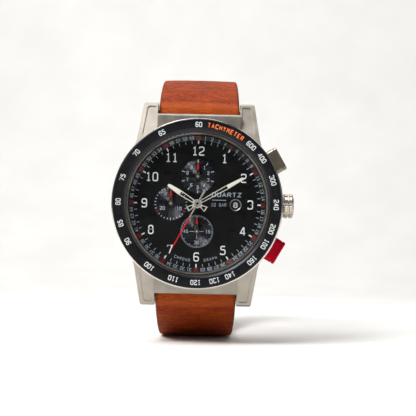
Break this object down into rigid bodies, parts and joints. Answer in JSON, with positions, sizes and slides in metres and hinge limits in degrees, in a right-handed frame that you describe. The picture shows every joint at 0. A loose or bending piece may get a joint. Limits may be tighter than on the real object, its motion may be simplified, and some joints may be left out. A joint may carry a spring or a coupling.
{
  "type": "chronograph wristwatch",
  "caption": "Round chronograph wristwatch with tachymeter bezel, counters, date window, crown and pushers on an open leather strap with a pin buckle.",
  "frame": {"origin": "centre of the case back's outer face", "axes": "+Z towards 12 o'clock, +X towards 3 o'clock, the dial faces -Y and the case back faces +Y"},
  "size_m": [0.0488, 0.1062, 0.075],
  "materials": {
    "case_steel": "bead-blasted warm grey steel",
    "bezel_black": "satin black ion plating",
    "mineral_glass": "clear polished mineral glass",
    "gasket_black": "matte",
    "flange_black": "matte black",
    "dial_black": "satin black with snailed counters",
    "back_steel": "brushed in a circle",
    "polished_steel": "polished",
    "crown_steel": "satin",
    "pusher_crimson": "crimson anodised",
    "movement_plastic": "matte white",
    "movement_brass": "satin",
    "movement_nickel": "nickel plated",
    "board_green": "solder mask",
    "battery_steel": "satin",
    "coil_copper": "enamelled copper wire",
    "gear_plastic": "moulded",
    "date_black": "matte black",
    "hand_silver": "satin silver with white filling",
    "counter_hand_bronze": "satin grey bronze",
    "chrono_hand_red": "gloss red",
    "strap_leather": "tan, waxed, creased",
    "lining_leather": "natural, smooth",
    "buckle_steel": "satin"
  },
  "bodies": {
    "case": {"case_middle": "case_steel", "bezel": "bezel_black", "crystal": "mineral_glass", "crystal_gasket": "gasket_black", "flange_ring": "flange_black", "dial": "dial_black", "case_back": "back_steel", "case_back_gasket": "gasket_black", "crown_tube": "polished_steel", "pusher_tubes": "polished_steel", "spring_bars": "polished_steel", "movement_ring": "movement_plastic", "main_plate": "movement_brass", "train_bridge": "movement_nickel", "circuit_board": "board_green", "battery": "battery_steel", "battery_clamp": "movement_nickel", "motor_coils": "coil_copper", "motor_stators": "movement_nickel", "quartz_can": "battery_steel", "movement_screws": "polished_steel", "contact_springs": "movement_brass", "start_pusher_spring": "polished_steel", "reset_pusher_spring": "polished_steel"},
    "clutch": {"sliding_pinion": "polished_steel"},
    "crown": {"crown": "crown_steel", "crown_gasket": "gasket_black", "setting_stem": "polished_steel"},
    "start_pusher": {"start_pusher": "crown_steel"},
    "reset_pusher": {"reset_pusher": "pusher_crimson"},
    "minute": {"cannon_pinion": "movement_brass", "minute_hand": "hand_silver"},
    "hour": {"hour_wheel": "movement_brass", "hour_hand": "hand_silver"},
    "minute_wheel": {"minute_wheel": "gear_plastic"},
    "third_wheel": {"third_wheel": "gear_plastic"},
    "small_seconds": {"fourth_wheel": "gear_plastic", "small_seconds_hand": "counter_hand_bronze"},
    "chrono_seconds": {"chrono_wheel": "gear_plastic", "chrono_hand": "chrono_hand_red"},
    "minute_counter": {"minute_counter_wheel": "gear_plastic", "minute_counter_hand": "counter_hand_bronze"},
    "tenths_counter": {"tenths_wheel": "gear_plastic", "tenths_hand": "counter_hand_bronze"},
    "date": {"date_ring": "date_black"},
    "time_rotor": {"time_rotor": "gear_plastic"},
    "chrono_rotor": {"chrono_rotor": "gear_plastic"},
    "short_strap": {"short_strap": "strap_leather", "short_strap_lining": "lining_leather", "fixed_keeper": "strap_leather", "buckle_bar": "polished_steel"},
    "free_keeper": {"free_keeper": "strap_leather"},
    "buckle": {"buckle_frame": "buckle_steel"},
    "tang": {"buckle_tang": "buckle_steel"},
    "long_strap": {"long_strap": "strap_leather", "long_strap_lining": "lining_leather"}
  },
  "joints": [
    {"name": "crown_turn", "type": "hinge", "parent": "case", "child": "clutch", "pos_m": [0, -0.0053, 0], "axis": [1, 0, 0], "continuous": true},
    {"name": "crown_pull", "type": "slide", "parent": "clutch", "child": "crown", "axis": [1, 0, 0], "range_m": [0, 0.0012]},
    {"name": "start_pusher_press", "type": "slide", "parent": "case", "child": "start_pusher", "axis": [-0.866, 0, -0.5], "range_m": [0, 0.0009], "stiffness_N_per_m": 600, "springref_m": -0.002, "deforming": ["start_pusher_spring"]},
    {"name": "reset_pusher_press", "type": "slide", "parent": "case", "child": "reset_pusher", "axis": [-0.866, 0, 0.5], "range_m": [0, 0.0009], "stiffness_N_per_m": 600, "springref_m": -0.002, "deforming": ["reset_pusher_spring"]},
    {"name": "minute_turn", "type": "hinge", "parent": "case", "child": "minute", "pos_m": [0, -0.00875, 0], "axis": [0, 1, 0], "continuous": true},
    {"name": "hour_turn", "type": "hinge", "parent": "case", "child": "hour", "pos_m": [0, -0.00815, 0], "axis": [0, 1, 0], "continuous": true},
    {"name": "minute_wheel_turn", "type": "hinge", "parent": "case", "child": "minute_wheel", "pos_m": [0.00205, -0.0061, 0.00205], "axis": [0, 1, 0], "continuous": true},
    {"name": "third_wheel_turn", "type": "hinge", "parent": "case", "child": "third_wheel", "pos_m": [0.0042, -0.0039, -0.004], "axis": [0, 1, 0], "continuous": true},
    {"name": "small_seconds_turn", "type": "hinge", "parent": "case", "child": "small_seconds", "pos_m": [0, -0.0035, -0.00742], "axis": [0, 1, 0], "continuous": true},
    {"name": "chrono_seconds_turn", "type": "hinge", "parent": "case", "child": "chrono_seconds", "pos_m": [0, -0.00935, 0], "axis": [0, 1, 0], "continuous": true},
    {"name": "minute_counter_turn", "type": "hinge", "parent": "case", "child": "minute_counter", "pos_m": [-0.00712, -0.0035, 0], "axis": [0, 1, 0], "continuous": true},
    {"name": "tenths_counter_turn", "type": "hinge", "parent": "case", "child": "tenths_counter", "pos_m": [0, -0.0035, 0.00742], "axis": [0, 1, 0], "continuous": true},
    {"name": "date_turn", "type": "hinge", "parent": "case", "child": "date", "pos_m": [0, -0.0065, 0], "axis": [0, 1, 0], "continuous": true},
    {"name": "time_rotor_turn", "type": "hinge", "parent": "case", "child": "time_rotor", "pos_m": [0.0065, -0.0035, -0.0085], "axis": [0, 1, 0], "continuous": true},
    {"name": "chrono_rotor_turn", "type": "hinge", "parent": "case", "child": "chrono_rotor", "pos_m": [-0.006, -0.0035, 0.0072], "axis": [0, 1, 0], "continuous": true},
    {"name": "short_strap_swing", "type": "hinge", "parent": "case", "child": "short_strap", "pos_m": [0, -0.0028, 0.0252], "axis": [1, 0, 0], "range_deg": [-5, 80]},
    {"name": "long_strap_swing", "type": "hinge", "parent": "case", "child": "long_strap", "pos_m": [0, -0.0028, -0.0252], "axis": [-1, 0, 0], "range_deg": [-5, 80]},
    {"name": "free_keeper_slide", "type": "hinge", "parent": "short_strap", "child": "free_keeper", "pos_m": [0, 0.02473, -0.00381], "axis": [1, 0, 0], "range_deg": [-12, 12]},
    {"name": "buckle_swing", "type": "hinge", "parent": "short_strap", "child": "buckle", "pos_m": [0, 0.06109, 0.01286], "axis": [1, 0, 0], "range_deg": [-50, 45]},
    {"name": "tang_swing", "type": "hinge", "parent": "buckle", "child": "tang", "pos_m": [0, 0.06109, 0.01286], "axis": [1, 0, 0], "range_deg": [0, 95]}
  ],
  "couplings": [
    {"joint": "hour_turn", "follows": "minute_turn", "ratio": 0.083333},
    {"joint": "minute_wheel_turn", "follows": "minute_turn", "ratio": -0.33333},
    {"joint": "third_wheel_turn", "follows": "minute_turn", "ratio": -8},
    {"joint": "small_seconds_turn", "follows": "minute_turn", "ratio": 60},
    {"joint": "date_turn", "follows": "minute_turn", "ratio": 0.0013441},
    {"joint": "minute_counter_turn", "follows": "chrono_seconds_turn", "ratio": 0.033333}
  ]
}
